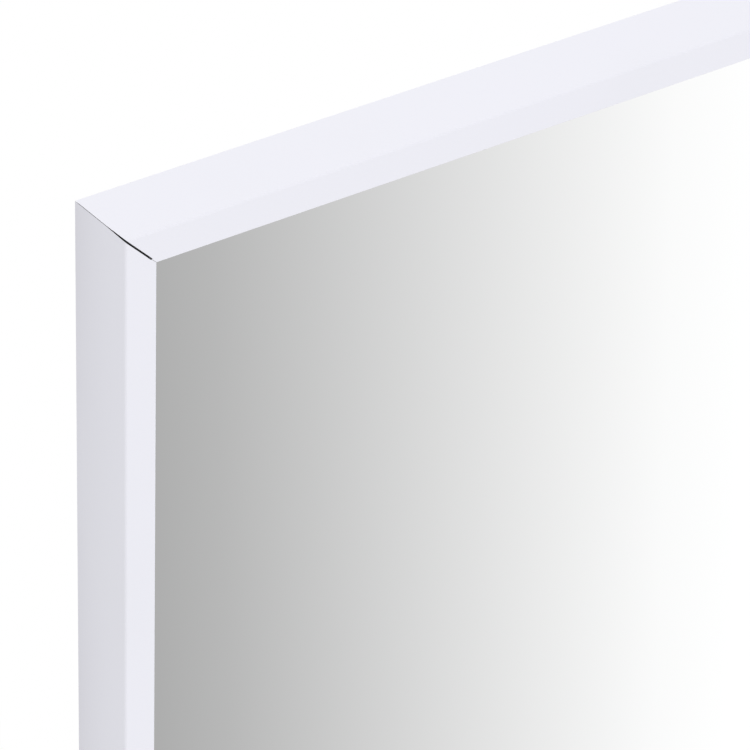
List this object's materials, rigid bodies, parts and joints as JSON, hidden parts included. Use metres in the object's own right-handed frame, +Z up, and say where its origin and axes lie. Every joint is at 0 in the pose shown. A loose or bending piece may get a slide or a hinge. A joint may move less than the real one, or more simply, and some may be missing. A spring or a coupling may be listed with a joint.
{
  "type": "wall mirror",
  "caption": "Rectangular wall mirror in a slim white mitred metal frame, with sliding D-ring hangers, spring-clipped backing board and rubber bumpers behind.",
  "frame": {"origin": "middle of the wall plane, which touches the rear faces of the bumpers", "axes": "+Y into the wall, so the glass faces -Y; +Z up; +X to the right seen from the front"},
  "size_m": [0.6, 0.03, 0.8],
  "materials": {
    "white_coat": "satin white powder coat on extruded aluminium",
    "mirror": "silvered float glass",
    "hardboard": "brown hardboard",
    "foam": "double-sided foam tape",
    "zinc_steel": "zinc plated",
    "spring_steel": "tempered strip",
    "rubber": "matt"
  },
  "bodies": {
    "frame": {"top_rail": "white_coat", "right_rail": "white_coat", "bottom_rail": "white_coat", "left_rail": "white_coat", "corner_key_top_right": "zinc_steel", "corner_shim_top_right": "zinc_steel", "corner_key_bottom_right": "zinc_steel", "corner_shim_bottom_right": "zinc_steel", "corner_key_bottom_left": "zinc_steel", "corner_shim_bottom_left": "zinc_steel", "corner_key_top_left": "zinc_steel", "corner_shim_top_left": "zinc_steel", "corner_set_screws": "zinc_steel", "gasket_top": "rubber", "gasket_right": "rubber", "gasket_bottom": "rubber", "gasket_left": "rubber", "mirror_glass": "mirror", "foam_tape_left": "foam", "foam_tape_middle": "foam", "foam_tape_right": "foam", "backing_board": "hardboard", "clip_top_1": "spring_steel", "clip_top_2": "spring_steel", "clip_right_1": "spring_steel", "clip_right_2": "spring_steel", "clip_right_3": "spring_steel", "clip_bottom_1": "spring_steel", "clip_bottom_2": "spring_steel", "clip_left_1": "spring_steel", "clip_left_2": "spring_steel", "clip_left_3": "spring_steel", "bumper_left": "rubber", "bumper_right": "rubber"},
    "hanger_left": {"hanger_plate_left": "zinc_steel", "channel_nut_left": "zinc_steel", "hanger_screw_left": "zinc_steel"},
    "ring_left": {"d_ring_left": "zinc_steel"},
    "hanger_right": {"hanger_plate_right": "zinc_steel", "channel_nut_right": "zinc_steel", "hanger_screw_right": "zinc_steel"},
    "ring_right": {"d_ring_right": "zinc_steel"}
  },
  "joints": [
    {"name": "hanger_slide_left", "type": "slide", "parent": "frame", "child": "hanger_left", "axis": [0, 0, 1], "range_m": [-0.52, 0.18]},
    {"name": "ring_swing_left", "type": "hinge", "parent": "hanger_left", "child": "ring_left", "pos_m": [-0.292, -0.0026, 0.1795], "axis": [1, 0, 0], "range_deg": [0, 180]},
    {"name": "hanger_slide_right", "type": "slide", "parent": "frame", "child": "hanger_right", "axis": [0, 0, 1], "range_m": [-0.52, 0.18]},
    {"name": "ring_swing_right", "type": "hinge", "parent": "hanger_right", "child": "ring_right", "pos_m": [0.292, -0.0026, 0.1795], "axis": [1, 0, 0], "range_deg": [0, 180]}
  ]
}
